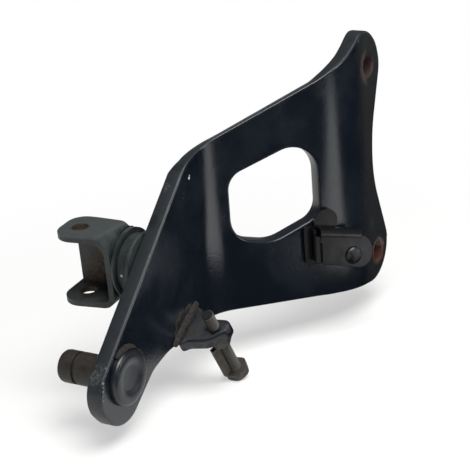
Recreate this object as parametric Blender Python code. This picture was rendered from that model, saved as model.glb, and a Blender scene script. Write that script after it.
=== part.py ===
"""Motorcycle footrest hanger: a pressed joggled plate with its pedal pivot,
footrest clevis, pedal stop and clip bracket.

Lengths are in millimetres until a mesh is made.  Every piece is drawn in
plate coordinates: x and z are measured from the pedal pivot axis, y from the
face that seats on the motorcycle frame, outboard positive.  The finished
meshes are moved so that the middle of the frame seat is the world origin.
"""
import math

import bmesh
import bpy
from mathutils import Matrix, Vector

MM = 0.001
GAP = 0.3                     # clearance between pieces that touch

# pressed plate
PLATE = 8.0                   # sheet thickness
JOGGLE = 45.7                 # from the frame seat to the pivot panel, front faces
BEND_ANGLE = math.radians(35.5)
INNER_BEND = 32.0             # front radius between pivot panel and web
OUTER_BEND = 54.0             # front radius between web and frame panel
PIVOT_PANEL = 75.5            # flat of the pivot panel, pivot axis to first bend
INNER_STEPS = 9
OUTER_STEPS = 12
FRONT_ROLL = 1.1              # sheared edge, rolled over at the front
BACK_ROLL = 0.6
TOP_TAPER = 2.6               # the upper edge leans in towards the back

# frame bolts, in the flat blank
FRAME_HOLE = 11.0
UPPER_BOLT = (192.5, 103.9)
LOWER_BOLT = (195.7, -1.5)
SEAT = 187.0                  # middle of the frame seat along the blank

# pedal pivot
PIN = 16.0
PIN_REACH = 33.0              # from the front face of the pivot panel
PIN_GROOVE = 25.0
GROOVE_WIDTH = 1.6
GROOVE_DEPTH = 1.0
HEAD = 27.2
HEAD_HEIGHT = 3.2
RECESS = 16.0
RECESS_DEPTH = 0.9
BEAD = 2.6                    # leg of the fillet welds

# footrest clevis
SPOOL_X = 37.8
SPOOL_Z = 40.0
BOSS = 32.6
BOSS_HEIGHT = 2.5
WAIST = 30.0
WAIST_HEIGHT = 4.2
FLANGE = 34.8
FLANGE_HEIGHT = 3.4
CLEVIS_X = 35.0               # middle of the clevis web
CLEVIS_Z = 40.1
CLEVIS_SWING = math.radians(4.0)
CLEVIS_LEAN = math.radians(3.0)
CLEVIS_ROLL = math.radians(1.5)
SHEET = 2.8
CLEVIS_HEIGHT = 36.0
NEAR_BEND = 10.0              # outside radii of the folded corners
FAR_BEND = 5.0
LOW_BEND = 6.0
WEB_SIDES = (-12.0, 9.6)
EYE_SIDES = (-13.8, 11.2)
PEG_PIN = (-1.3, 21.2)        # across the lugs, and out from the web
PEG_HOLE = 8.4
LUG_REACH = 29.0
CLEVIS_BEAD = 4.6             # weld between clevis and flange
LUG_CORNER = 8.4
STOP_WALL_REACH = 27.0
STOP_WALL_LOW = -9.6
STOP_WALL_BEND = 6.0

# pedal stop
STOP_TILT = math.radians(30.0)    # tab against the x axis
STOP_OUT = 15.8               # screw axis in front of the pivot panel
STOP_ALONG = 49.6             # screw axis measured along the tab
TAB_TOP = 24.3                # top face of the tab, measured down the screw
TAB = 6.2
TAB_ROOT = (34.9, 61.2)
TAB_NOTCH = 2.5
TAB_FLOOR = 1.2               # metal left under the notch
SCREW = 6.0
SCREW_TIP = 13.5
SCREW_SEAT = 58.1
ACROSS_FLATS = 10.2
NUT_HEIGHT = 5.2
SCREW_HEAD = 4.2
STRAP_WIDTH = 3.4
STRAP = 2.0

# clip bracket on the web, in the flat blank
CLIP_SHEET = 1.8
CLIP_STAND = 6.0              # tongue in front of the web
LEAF = (135.4, 146.0, 10.2, 31.0)
EAR = (148.4, 31.8)
EAR_RADIUS = 6.8
CURL_START = 142.6
TONGUE_TOP = (142.8, 30.2)    # upper corner at the fold
LIP_BEND = 4.0
LIP_LENGTH = 25.0
LIP_SLOPE = math.radians(-14.5)
CLIP_RIVET = (160.6, 12.2)
RIVET_HEAD = 9.4
RIVET_SHANK = 4.6
RIVET_DOME = 2.2

FINE = 48
MEDIUM = 32


def clear_scene():
    for item in list(bpy.data.objects):
        bpy.data.objects.remove(item, do_unlink=True)


def finish(name, colour, metallic, roughness):
    """A plain surface for one kind of finish."""
    material = bpy.data.materials.new(name)
    material.use_nodes = True
    shader = material.node_tree.nodes["Principled BSDF"]
    shader.inputs["Base Color"].default_value = (*colour, 1.0)
    shader.inputs["Metallic"].default_value = metallic
    shader.inputs["Roughness"].default_value = roughness
    return material


class Section:
    """The bent cross section of the plate, followed along its front face."""

    def __init__(self):
        tangents = (INNER_BEND + OUTER_BEND) * math.tan(BEND_ANGLE / 2)
        self.first = PIVOT_PANEL
        self.second = self.first + INNER_BEND * BEND_ANGLE
        self.web = JOGGLE / math.sin(BEND_ANGLE) - tangents
        self.third = self.second + self.web
        self.fourth = self.third + OUTER_BEND * BEND_ANGLE

    def heading(self, s):
        if s <= self.second:
            return min(max((s - self.first) / INNER_BEND, 0.0), BEND_ANGLE)
        return min(max((self.fourth - s) / OUTER_BEND, 0.0), BEND_ANGLE)

    def front(self, s):
        """x and y of the front face at blank length s."""
        x = min(s, self.first)
        y = JOGGLE
        turn = self.heading(min(s, self.second))
        x += INNER_BEND * math.sin(turn)
        y -= INNER_BEND * (1 - math.cos(turn))
        run = min(max(s - self.second, 0.0), self.web)
        x += run * math.cos(BEND_ANGLE)
        y -= run * math.sin(BEND_ANGLE)
        left = self.heading(max(s, self.third))
        x += OUTER_BEND * (math.sin(BEND_ANGLE) - math.sin(left))
        y -= OUTER_BEND * (math.cos(left) - math.cos(BEND_ANGLE))
        x += max(s - self.fourth, 0.0)
        return x, y

    def place(self, s, depth, z):
        """Plate coordinates of a point under the front face of the blank."""
        x, y = self.front(s)
        turn = self.heading(s)
        return Vector((x + depth * math.sin(turn), y + depth * math.cos(turn), z))

    def bend_lines(self):
        lines = []
        for step in range(INNER_STEPS + 1):
            part = step / INNER_STEPS
            lines.append(self.first + part * (self.second - self.first))
        for step in range(OUTER_STEPS + 1):
            part = step / OUTER_STEPS
            lines.append(self.third + part * (self.fourth - self.third))
        return lines


SECTION = Section()
SEAT_X = SECTION.front(SEAT)[0]
SEAT_Z = (UPPER_BOLT[1] + LOWER_BOLT[1]) / 2
PANEL_BACK = JOGGLE + PLATE


def rounded(corners, step=math.radians(9)):
    """Points and outward normals of a closed outline with rounded corners.

    The corners run anticlockwise as (x, z, radius).
    """
    points = []
    count = len(corners)
    for i in range(count):
        before = Vector(corners[i - 1][:2])
        here = Vector(corners[i][:2])
        after = Vector(corners[(i + 1) % count][:2])
        radius = corners[i][2]
        arrive = (here - before).normalized()
        leave = (after - here).normalized()
        turn = math.atan2(arrive.cross(leave), arrive.dot(leave))
        side = 1.0 if turn > 0 else -1.0
        setback = radius * math.tan(abs(turn) / 2)
        start = here - arrive * setback
        normal = Vector((arrive.y, -arrive.x))
        centre = start - normal * side * radius
        pieces = max(1, math.ceil(abs(turn) / step))
        for k in range(pieces + 1):
            swing = Matrix.Rotation(turn * k / pieces, 2)
            out = swing @ normal
            points.append((centre + out * side * radius, out))
    return points


def circle(x, z, radius, count=FINE):
    points = []
    for k in range(count):
        angle = 2 * math.pi * k / count
        out = Vector((math.cos(angle), math.sin(angle)))
        points.append((Vector((x, z)) + out * radius, out))
    return points


def add_ring(bm, outline, inset, depth, taper=0.0):
    ring = []
    for point, out in outline:
        upward = min(max((out.y - 0.74) / 0.22, 0.0), 1.0)
        place = point - out * (inset + taper * upward * depth / PLATE)
        ring.append(bm.verts.new((place.x, depth, place.y)))
    return ring


def join_rings(bm, one, two):
    count = len(one)
    for i in range(count):
        j = (i + 1) % count
        bm.faces.new((one[i], one[j], two[j], two[i]))


def ring_edges(bm, ring):
    edges = []
    for i, vert in enumerate(ring):
        edges.append(bm.edges.get((vert, ring[(i + 1) % len(ring)])))
    return edges


def sheet(outline, holes, levels, taper=0.0):
    """A flat sheet in the xz plane with shaped rims.

    levels lists (depth, inset) from the front face to the back face.  taper
    insets the back of those outline stretches that face upwards.
    """
    bm = bmesh.new()
    caps = [[], []]
    for loop, sign in [(outline, 1)] + [(hole, -1) for hole in holes]:
        lean = taper if sign == 1 else 0.0
        rings = [add_ring(bm, loop, inset * sign, depth, lean) for depth, inset in levels]
        for one, two in zip(rings, rings[1:]):
            join_rings(bm, one, two)
        caps[0] += ring_edges(bm, rings[0])
        caps[1] += ring_edges(bm, rings[-1])
    for edges in caps:
        bmesh.ops.triangle_fill(bm, use_beauty=True, edges=edges)
    bmesh.ops.recalc_face_normals(bm, faces=bm.faces)
    return bm


def rolled_levels(thickness, front, back):
    """Rim of a sheared sheet: round at the front, a small round behind."""
    levels = []
    for k in range(4):
        angle = math.radians(30 * k)
        levels.append((front * (1 - math.cos(angle)), front * (1 - math.sin(angle))))
    for k in range(3):
        angle = math.radians(45 * k)
        levels.append((thickness - back * (1 - math.sin(angle)), back * (1 - math.cos(angle))))
    return levels


def turned(profile, count=FINE):
    """A body of revolution about y from (radius, y) pairs, closed on the axis."""
    bm = bmesh.new()
    rings = []
    for radius, y in profile:
        if radius == 0:
            rings.append([bm.verts.new((0, y, 0))])
            continue
        ring = []
        for k in range(count):
            angle = 2 * math.pi * k / count
            ring.append(bm.verts.new((radius * math.cos(angle), y, radius * math.sin(angle))))
        rings.append(ring)
    pairs = list(zip(rings, rings[1:]))
    if profile[0][0] != 0:
        pairs.append((rings[-1], rings[0]))
    for one, two in pairs:
        if len(one) == 1 or len(two) == 1:
            tip, rim = (one, two) if len(one) == 1 else (two, one)
            for i in range(count):
                bm.faces.new((tip[0], rim[i], rim[(i + 1) % count]))
        else:
            join_rings(bm, one, two)
    bmesh.ops.recalc_face_normals(bm, faces=bm.faces)
    return bm


def arc_bead(radius, start, end, leg, count):
    """A fillet weld of part of a circle, in the corner at y = 0, thin at both ends."""
    bm = bmesh.new()
    rings = []
    for k in range(count + 1):
        part = k / count
        angle = start + (end - start) * part
        grow = leg * (0.45 + 0.55 * math.sin(math.pi * part) ** 0.5)
        ripple = 1 + 0.07 * math.cos(2 * math.pi * part * count / 3)
        ring = []
        for out, up in ((0, 0), (1, 0), (0.78, 0.5), (0.5, 0.78), (0, 1)):
            distance = radius + grow * ripple * out
            ring.append(bm.verts.new((distance * math.cos(angle), -grow * ripple * up,
                                      distance * math.sin(angle))))
        rings.append(ring)
    for one, two in zip(rings, rings[1:]):
        join_rings(bm, one, two)
    bm.faces.new(rings[0])
    bm.faces.new(rings[-1])
    bmesh.ops.recalc_face_normals(bm, faces=bm.faces)
    return bm


def line_bead(length, leg, count):
    """A fillet weld along x, in the corner at y = 0 and z = 0, thin at both ends."""
    bm = bmesh.new()
    rings = []
    for k in range(count + 1):
        part = k / count
        grow = leg * (0.5 + 0.5 * math.sin(math.pi * part) ** 0.5)
        grow *= 1 + 0.06 * math.cos(2 * math.pi * part * count / 3)
        ring = []
        for out, up in ((0, 0), (1, 0), (0.78, 0.5), (0.5, 0.78), (0, 1)):
            ring.append(bm.verts.new((length * (part - 0.5), -grow * out, grow * up)))
        rings.append(ring)
    for one, two in zip(rings, rings[1:]):
        join_rings(bm, one, two)
    bm.faces.new(rings[0])
    bm.faces.new(rings[-1])
    bmesh.ops.recalc_face_normals(bm, faces=bm.faces)
    return bm


def prism(outline, front, back, chamfer=0.0):
    """A block between two depths from an outline in the xz plane."""
    levels = [(front, 0.0), (back, 0.0)]
    if chamfer:
        levels = [(front, chamfer), (front + chamfer, 0.0), (back - chamfer, 0.0), (back, chamfer)]
    return sheet(outline, [], levels)


def add_piece(name, bm, material, matrix=None, smooth=35.0):
    """Move a piece to its place, shift it to the frame seat and add it."""
    if matrix is not None:
        bm.transform(matrix)
    bm.transform(Matrix.Scale(MM, 4) @ Matrix.Translation((-SEAT_X, 0, -SEAT_Z)))
    bmesh.ops.triangulate(bm, faces=bm.faces)
    bmesh.ops.recalc_face_normals(bm, faces=bm.faces)
    mesh = bpy.data.meshes.new(name)
    bm.to_mesh(mesh)
    bm.free()
    piece = bpy.data.objects.new(name, mesh)
    bpy.context.scene.collection.objects.link(piece)
    if material is not None:
        mesh.materials.append(material)
        mesh.shade_smooth()
        mesh.set_sharp_from_angle(angle=math.radians(smooth))
    return piece


def combine(piece, name, bm, operation, matrix=None):
    """Add or cut another body with a Boolean modifier."""
    tool = add_piece(name, bm, None, matrix)
    tool.hide_render = True
    tool.display_type = "WIRE"
    modifier = piece.modifiers.new(name, "BOOLEAN")
    modifier.operation = operation
    modifier.object = tool
    modifier.solver = "EXACT"
    return tool


def settle(piece, tools, smooth=35.0):
    """Apply the modifiers and drop the helper bodies."""
    graph = bpy.context.evaluated_depsgraph_get()
    graph.update()
    mesh = bpy.data.meshes.new_from_object(piece.evaluated_get(graph))
    piece.modifiers.clear()
    piece.data = mesh
    mesh.shade_smooth()
    mesh.set_sharp_from_angle(angle=math.radians(smooth))
    for tool in tools:
        bpy.data.objects.remove(tool, do_unlink=True)


def plate_outline():
    """The flat blank: round pivot end, long upper edge, frame panel with two lobes."""
    return rounded([
        (-6.6, -27.6, 16.0), (22.5, -6.9, 12.0), (37.0, -3.4, 40.0),
        (82.0, -3.0, 60.0), (150.0, -9.8, 200.0), (211.5, -19.2, 20.0),
        (206.6, 7.0, 40.0), (191.6, 44.0, 60.0), (193.4, 72.0, 60.0), (205.4, 103.5, 14.0),
        (202.8, 112.5, 8.0), (194.0, 122.0, 7.0), (183.8, 121.8, 8.0), (174.0, 113.9, 14.0),
        (166.0, 111.4, 60.0), (93.0, 88.6, 50.0), (66.6, 82.4, 24.0), (5.9, 26.6, 60.0),
        (-26.6, -2.4, 15.0),
    ])


def window_outline():
    return rounded([
        (96.0, 33.8, 14.0), (119.0, 27.2, 20.0), (146.6, 35.6, 10.5), (146.6, 80.0, 16.0),
        (96.2, 66.6, 9.5),
    ])


def bend(bm):
    """Cut a flat blank along the bend lines and fold it to the section."""
    lines = SECTION.bend_lines()
    for line in lines:
        geometry = bm.verts[:] + bm.edges[:] + bm.faces[:]
        bmesh.ops.bisect_plane(bm, geom=geometry, dist=1e-5, plane_co=(line, 0, 0),
                               plane_no=(1, 0, 0))
    for vert in bm.verts:
        s, depth, z = vert.co
        after = next((line for line in lines if line > s + 1e-4), None)
        before = next((line for line in reversed(lines) if line <= s + 1e-4), None)
        if after is None or before is None:
            vert.co = SECTION.place(s, depth, z)
            continue
        part = (s - before) / (after - before)
        start = SECTION.place(before, depth, z)
        vert.co = start.lerp(SECTION.place(after, depth, z), part)


def add_plate(paint):
    holes = [window_outline(), circle(0, 0, PIN / 2 + GAP)]
    for x, z in (UPPER_BOLT, LOWER_BOLT):
        holes.append(circle(x, z, FRAME_HOLE / 2, MEDIUM))
    bm = sheet(plate_outline(), holes, rolled_levels(PLATE, FRONT_ROLL, BACK_ROLL), TOP_TAPER)
    bend(bm)
    return add_piece("hanger_plate", bm, paint, smooth=25.0)


def add_pivot(steel, weld):
    """Turned pivot pin with its flanged head, welded on both faces."""
    radius = PIN / 2
    rim = HEAD / 2
    face = JOGGLE - GAP
    top = face - HEAD_HEIGHT
    tip = JOGGLE + PIN_REACH
    groove = JOGGLE + PIN_GROOVE
    profile = [
        (0, top + RECESS_DEPTH), (RECESS / 2 - 2.2, top + RECESS_DEPTH), (RECESS / 2, top + 0.2),
        (RECESS / 2 + 0.6, top), (rim - 1.9, top), (rim - 0.7, top + 0.5), (rim, top + 1.6),
        (rim, face), (radius, face),
        (radius, groove - GROOVE_WIDTH / 2), (radius - GROOVE_DEPTH, groove - GROOVE_WIDTH / 2),
        (radius - GROOVE_DEPTH, groove + GROOVE_WIDTH / 2), (radius, groove + GROOVE_WIDTH / 2),
        (radius, tip - 2.4), (radius - 0.5, tip - 1.1), (radius - 1.7, tip - 0.3),
        (radius - 3.4, tip), (0, tip),
    ]
    add_piece("pedal_pivot_pin", turned(profile), steel)
    back = PANEL_BACK + GAP
    collar = radius + GAP
    ring = [
        (collar, back), (collar + BEAD, back), (collar + 0.72 * BEAD, back + 0.5 * BEAD),
        (collar + 0.42 * BEAD, back + 0.82 * BEAD), (collar, back + BEAD),
    ]
    add_piece("pivot_outer_weld", turned(ring), weld)
    for name, start, end in (("pivot_head_weld_top", 50, 118), ("pivot_head_weld_side", -28, 40)):
        bead = arc_bead(rim + GAP, math.radians(start), math.radians(end), 2.1, 24)
        add_piece(name, bead, weld, Matrix.Translation((0, face, 0)))


def clevis_matrix():
    """Clevis coordinates: x across the lugs, y outboard from the web, z along the peg pin."""
    web = PANEL_BACK + 2 * GAP + BOSS_HEIGHT + WAIST_HEIGHT + FLANGE_HEIGHT
    return (Matrix.Translation((CLEVIS_X, web + GAP, CLEVIS_Z))
            @ Matrix.Rotation(CLEVIS_SWING, 4, "Z")
            @ Matrix.Rotation(-CLEVIS_LEAN, 4, "X")
            @ Matrix.Rotation(-CLEVIS_ROLL, 4, "Y"))


def arc_points(y, z, radius, start, end, steps):
    points = []
    for k in range(steps + 1):
        angle = math.radians(start + (end - start) * k / steps)
        points.append((y + radius * math.cos(angle), z + radius * math.sin(angle)))
    return points


def loft_x(near, far):
    """A body between two closed yz outlines, each with its own x, of equal point count."""
    bm = bmesh.new()
    sides = []
    for x, points in (near, far):
        sides.append([bm.verts.new((x, y, z)) for y, z in points])
    join_rings(bm, sides[0], sides[1])
    for side in sides:
        bm.faces.new(side)
    bmesh.ops.recalc_face_normals(bm, faces=bm.faces)
    return bm


def loft_z(outline, low, high):
    """An upright body between two heights from a closed xy outline."""
    bm = bmesh.new()
    levels = []
    for z in (low, high):
        levels.append([bm.verts.new((x, y, z)) for x, y in outline])
    join_rings(bm, levels[0], levels[1])
    for level in levels:
        bm.faces.new(level)
    bmesh.ops.recalc_face_normals(bm, faces=bm.faces)
    return bm


def channel_points(top_bend):
    """The folded channel from the side: top lug, web and lower lug."""
    half = CLEVIS_HEIGHT / 2
    reach = LUG_REACH + 2
    points = [(reach, half)]
    points += arc_points(top_bend, half - top_bend, top_bend, 90, 180, 10)
    points += arc_points(LOW_BEND, LOW_BEND - half, LOW_BEND, 180, 270, 6)
    points += [(reach, -half), (reach, SHEET - half)]
    points += arc_points(LOW_BEND, LOW_BEND - half, LOW_BEND - SHEET, 270, 180, 6)
    points += arc_points(top_bend, half - top_bend, top_bend - SHEET, 180, 90, 10)
    points += [(reach, half - SHEET)]
    return points


def stop_wall_points():
    """The wall folded outboard from the far edge of the web, seen along the peg pin."""
    side = WEB_SIDES[1]
    bend_x = side - STOP_WALL_BEND
    wall = [(bend_x - 3.0, 0.05)]
    wall += arc_points(bend_x, STOP_WALL_BEND, STOP_WALL_BEND, -85, 0, 6)
    wall += [(side, STOP_WALL_REACH), (side - SHEET, STOP_WALL_REACH)]
    wall += arc_points(bend_x, STOP_WALL_BEND, STOP_WALL_BEND - SHEET, 0, -85, 6)
    wall += [(bend_x - 3.0, SHEET - 0.05)]
    return wall


def lug_block():
    """Body that leaves only the plan shape of the lugs, wider round the peg pin."""
    plan = rounded([
        (WEB_SIDES[0], -8.0, 1.0), (WEB_SIDES[1], -8.0, 1.0), (EYE_SIDES[1], PEG_PIN[1] - 2.0, 20.0),
        (EYE_SIDES[1], LUG_REACH, LUG_CORNER), (EYE_SIDES[0], LUG_REACH, LUG_CORNER),
        (EYE_SIDES[0], PEG_PIN[1] - 2.0, 20.0),
    ])
    return loft_z([point for point, out in plan], -CLEVIS_HEIGHT, CLEVIS_HEIGHT)


def add_clevis(paint):
    """Peg clevis folded from one sheet, with its stop wall and the bored lugs."""
    place = clevis_matrix()
    near = (EYE_SIDES[0] - 2.0, channel_points(NEAR_BEND))
    far = (EYE_SIDES[1] + 2.0, channel_points(FAR_BEND))
    clevis = add_piece("peg_clevis", loft_x(near, far), paint, place)
    tools = [combine(clevis, "lug_plan", lug_block(), "INTERSECT", place)]
    high = CLEVIS_HEIGHT / 2 - SHEET + 0.6
    tools.append(combine(clevis, "stop_wall", loft_z(stop_wall_points(), STOP_WALL_LOW, high),
                         "UNION", place))
    plan = [(point.x, point.y) for point, out in circle(*PEG_PIN, PEG_HOLE / 2, MEDIUM)]
    bead = arc_bead(FLANGE / 2 - CLEVIS_BEAD, math.radians(18), math.radians(112), CLEVIS_BEAD, 20)
    bead.transform(Matrix.Translation((SPOOL_X - CLEVIS_X, 0.02, SPOOL_Z - CLEVIS_Z))
                   @ Matrix.Scale(-1, 4, (0, 1, 0)))
    bmesh.ops.recalc_face_normals(bead, faces=bead.faces)
    tools.append(combine(clevis, "top_bead", bead, "UNION", place))
    tools.append(combine(clevis, "peg_hole", loft_z(plan, -30.0, 30.0), "DIFFERENCE", place))
    settle(clevis, tools)


def add_clevis_seat(paint, weld):
    """Boss with a waist on the plate, the flange the clevis sits on, and its weld."""
    back = PANEL_BACK + GAP
    radius = BOSS / 2
    shoulder = back + BOSS_HEIGHT
    end = shoulder + WAIST_HEIGHT
    boss = [
        (0, back), (radius - 0.3, back), (radius, back + 0.3), (radius, shoulder - 0.9),
        (radius - 0.3, shoulder - 0.3), (radius - 0.9, shoulder), (WAIST / 2, shoulder + 0.5),
        (WAIST / 2, end), (0, end),
    ]
    spot = Matrix.Translation((SPOOL_X, 0, SPOOL_Z))
    add_piece("clevis_boss", turned(boss), paint, spot)
    radius = FLANGE / 2
    roll = 1.3
    flange = [(0, -FLANGE_HEIGHT - 4.0), (radius, -FLANGE_HEIGHT - 4.0), (radius, -roll)]
    for k in range(1, 4):
        angle = math.radians(30 * k)
        flange.append((radius - roll * (1 - math.cos(angle)), roll * (math.sin(angle) - 1)))
    flange.append((0, 0))
    place = clevis_matrix()
    shift = Matrix.Translation((SPOOL_X - CLEVIS_X, -GAP, SPOOL_Z - CLEVIS_Z))
    piece = add_piece("clevis_flange", turned(flange), paint, place @ shift)
    face = end + GAP
    block = prism(rounded([(-30, -30, 1), (30, -30, 1), (30, 30, 1), (-30, 30, 1)]), face - 20, face)
    settle(piece, [combine(piece, "flange_foot", block, "DIFFERENCE", spot)])


def stop_matrix():
    """Stop coordinates: x along the tab, y outboard, z up the screw from the axis origin."""
    return Matrix.Rotation(-STOP_TILT, 4, "Y") @ Matrix.Translation((0, JOGGLE, 0))


def tab_outline():
    """Tab seen along the screw: x along the plate, second value outboard."""
    return rounded([
        (TAB_ROOT[0], -GAP, 0.6), (38.8, -5.5, 4.0), (41.0, -15.5, 8.0), (53.2, -23.8, 2.0),
        (54.6, -14.5, 8.0), (TAB_ROOT[1], -GAP, 0.8),
    ])


def upright(bm):
    """Turn a body drawn across y so that y becomes z upward and z becomes y."""
    bm.transform(Matrix(((1, 0, 0, 0), (0, 0, 1, 0), (0, 1, 0, 0), (0, 0, 0, 1))))
    bmesh.ops.recalc_face_normals(bm, faces=bm.faces)
    return bm


def hexagon(across, turn=0.0):
    radius = across / math.sqrt(3)
    points = []
    for k in range(6):
        angle = math.radians(60 * k) + turn
        points.append((radius * math.cos(angle), radius * math.sin(angle), 0.7))
    return rounded(points, math.radians(30))


def add_stop(paint, zinc, weld):
    place = stop_matrix()
    axis = Matrix.Translation((STOP_ALONG, -STOP_OUT, 0))
    floor = -TAB_TOP - TAB
    levels = [(floor, 0.5), (floor + 0.5, 0.0), (-TAB_TOP - 0.6, 0.0), (-TAB_TOP, 0.6)]
    bm = upright(sheet(tab_outline(), [], levels))
    tab = add_piece("stop_tab", bm, paint, place)
    bore = upright(turned([(0, -40), (SCREW / 2 + GAP, -40), (SCREW / 2 + GAP, -10), (0, -10)], MEDIUM))
    tools = [combine(tab, "tab_bore", bore, "DIFFERENCE", place @ axis)]
    cut = floor + TAB_FLOOR
    notch = upright(turned([(0, cut), (TAB_NOTCH, cut), (TAB_NOTCH, -10), (0, -10)], MEDIUM))
    spot = Matrix.Translation((TAB_ROOT[0] + 3.4, -3.0, 0))
    tools.append(combine(tab, "tab_notch", notch, "DIFFERENCE", place @ spot))
    settle(tab, tools)
    bead = line_bead(TAB_ROOT[1] - TAB_ROOT[0] + 1.0, 3.0, 30)
    middle = (TAB_ROOT[0] + TAB_ROOT[1]) / 2
    add_piece("stop_tab_weld", bead, weld,
              place @ Matrix.Translation((middle, -GAP, GAP - TAB_TOP)))
    under = -TAB_TOP - TAB - GAP
    flats = math.radians(12)
    nut = upright(prism(hexagon(ACROSS_FLATS, flats), under - NUT_HEIGHT, under, 0.4))
    nut_piece = add_piece("stop_nut", nut, zinc, place @ axis)
    bore = upright(turned([(0, -60), (SCREW / 2 + GAP, -60), (SCREW / 2 + GAP, 0), (0, 0)], MEDIUM))
    settle(nut_piece, [combine(nut_piece, "nut_bore", bore, "DIFFERENCE", place @ axis)])
    radius = SCREW / 2
    shank = upright(turned([
        (0, -SCREW_SEAT - 2.0), (radius, -SCREW_SEAT - 2.0), (radius, -SCREW_TIP - 1.0),
        (radius - 0.9, -SCREW_TIP), (0, -SCREW_TIP),
    ], MEDIUM))
    screw = add_piece("stop_screw", shank, zinc, place @ axis)
    head = upright(prism(hexagon(ACROSS_FLATS, flats), -SCREW_SEAT - SCREW_HEAD, -SCREW_SEAT, 0.5))
    settle(screw, [combine(screw, "screw_head", head, "UNION", place @ axis)])
    low = -SCREW_SEAT + GAP
    high = under - NUT_HEIGHT - GAP
    half = STRAP / 2
    inner = SCREW / 2 + GAP + 0.1
    corners = [(-half, inner, 0.3), (half, inner, 0.3), (half, inner + STRAP_WIDTH, 0.6),
               (-half, inner + STRAP_WIDTH, 0.6)]
    strap = upright(prism(rounded(corners), low, high))
    turn = Matrix.Rotation(math.radians(42), 4, "Z")
    add_piece("stop_strap", strap, zinc, place @ axis @ turn)


def web_matrix():
    """Web coordinates: x along the blank length, y out of the front face, z up."""
    x, y = SECTION.front(SECTION.second)
    return (Matrix.Translation((x, y, 0)) @ Matrix.Rotation(-BEND_ANGLE, 4, "Z")
            @ Matrix.Translation((-SECTION.second, 0, 0)))


def tongue_outline():
    return rounded([
        (142.8, 11.2, 1.5), (169.2, 2.3, 6.8), (175.0, 19.4, 10.6), (142.8, 30.2, 0.8),
    ])


def add_clip(dark):
    """Folded clip bracket: leaf and ear on the web, curled edge, standing tongue with a lip."""
    place = web_matrix()
    back = -CLIP_STAND
    front = back - CLIP_SHEET
    levels = [(front, 0.3), (front + 0.3, 0.0), (back - 0.3, 0.0), (back, 0.3)]
    clip = add_piece("clip_bracket", sheet(tongue_outline(), [], levels), dark, place)
    left, right, low, high = LEAF
    leaf = rounded([(left, low, 4.0), (right, low - 1.5, 3.0), (right, high, 2.0), (left, high, 2.0)])
    tools = [combine(clip, "leaf", prism(leaf, -GAP - CLIP_SHEET, -GAP), "UNION", place)]
    ear = prism(circle(*EAR, EAR_RADIUS, MEDIUM), 0.05 - GAP - CLIP_SHEET, -0.05 - GAP)
    tools.append(combine(clip, "ear", ear, "UNION", place))
    # the edge rolls over from the leaf to the tongue
    radius = (CLIP_STAND + CLIP_SHEET - GAP) / 2
    middle = -(CLIP_STAND + CLIP_SHEET + GAP) / 2
    roll = arc_points(middle, 0, radius, 170, 10, 10)
    roll += arc_points(middle, 0, radius - CLIP_SHEET, 10, 170, 10)
    outline = [(CURL_START + 0.6 - x, y) for y, x in roll]
    curl = loft_z(outline, low + 2.2, high - 1.6)
    tools.append(combine(clip, "curl", curl, "UNION", place))
    # a lip turns back from the upper edge of the tongue
    points = [(back + 1.2 + LIP_BEND, 0.0)]
    points += arc_points(front + LIP_BEND, -LIP_BEND, LIP_BEND, 90, 180, 6)
    points += [(front + 0.02, -LIP_BEND - 3.0), (front + CLIP_SHEET - 0.02, -LIP_BEND - 3.0)]
    points += arc_points(front + LIP_BEND, -LIP_BEND, LIP_BEND - CLIP_SHEET, 180, 90, 6)
    points.append((back + 1.2 + LIP_BEND, -CLIP_SHEET))
    lip = loft_x((0.4, points), (LIP_LENGTH, points))
    corner = (Matrix.Translation((TONGUE_TOP[0], 0, TONGUE_TOP[1] + 0.1))
              @ Matrix.Rotation(-LIP_SLOPE, 4, "Y"))
    end = LIP_LENGTH - 0.1
    trim = prism(rounded([(-12.0, -LIP_BEND, 0.3), (end, -LIP_BEND, 0.3), (end, 12.0, 0.3),
                          (-12.0, 12.0, 0.3)]), front - 1.0, back + 1.0)
    tools.append(combine(clip, "lip_room", trim, "DIFFERENCE", place @ corner))
    tools.append(combine(clip, "lip", lip, "UNION", place @ corner))
    spot = Matrix.Translation((CLIP_RIVET[0], 0, CLIP_RIVET[1]))
    hole = RIVET_SHANK / 2 + GAP
    bore = turned([(0, -12), (hole, -12), (hole, -4), (0, -4)], MEDIUM)
    tools.append(combine(clip, "rivet_bore", bore, "DIFFERENCE", place @ spot))
    settle(clip, tools)
    seat = front - GAP
    dome = [(0, seat - RIVET_DOME)]
    for k in range(1, 7):
        angle = math.radians(15 * k)
        dome.append((RIVET_HEAD / 2 * math.sin(angle), seat - RIVET_DOME * math.cos(angle)))
    dome += [(RIVET_SHANK / 2, seat), (RIVET_SHANK / 2, back + 1.0), (0, back + 1.0)]
    add_piece("clip_rivet", turned(dome, MEDIUM), dark, place @ spot)


def main():
    clear_scene()
    paint = finish("black_paint", (0.018, 0.021, 0.026), 0.0, 0.38)
    clevis_paint = finish("grey_black_paint", (0.045, 0.05, 0.05), 0.0, 0.5)
    steel = finish("tarnished_steel", (0.16, 0.145, 0.13), 0.9, 0.5)
    zinc = finish("dull_zinc", (0.3, 0.28, 0.26), 0.9, 0.5)
    weld = finish("painted_weld", (0.06, 0.052, 0.046), 0.3, 0.5)
    dark = finish("black_dipped_sheet", (0.008, 0.009, 0.011), 0.0, 0.3)
    add_plate(paint)
    add_pivot(steel, weld)
    add_clevis_seat(clevis_paint, weld)
    add_clevis(clevis_paint)
    add_stop(paint, zinc, weld)
    add_clip(dark)


main()
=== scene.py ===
"""Looks of a motorcycle footrest hanger: smooth forms, finishes, thread and a plain studio."""

import math

import bmesh
import bpy
from bpy.props import FloatProperty, FloatVectorProperty, IntProperty, PointerProperty
from mathutils import Matrix, Vector


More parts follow.
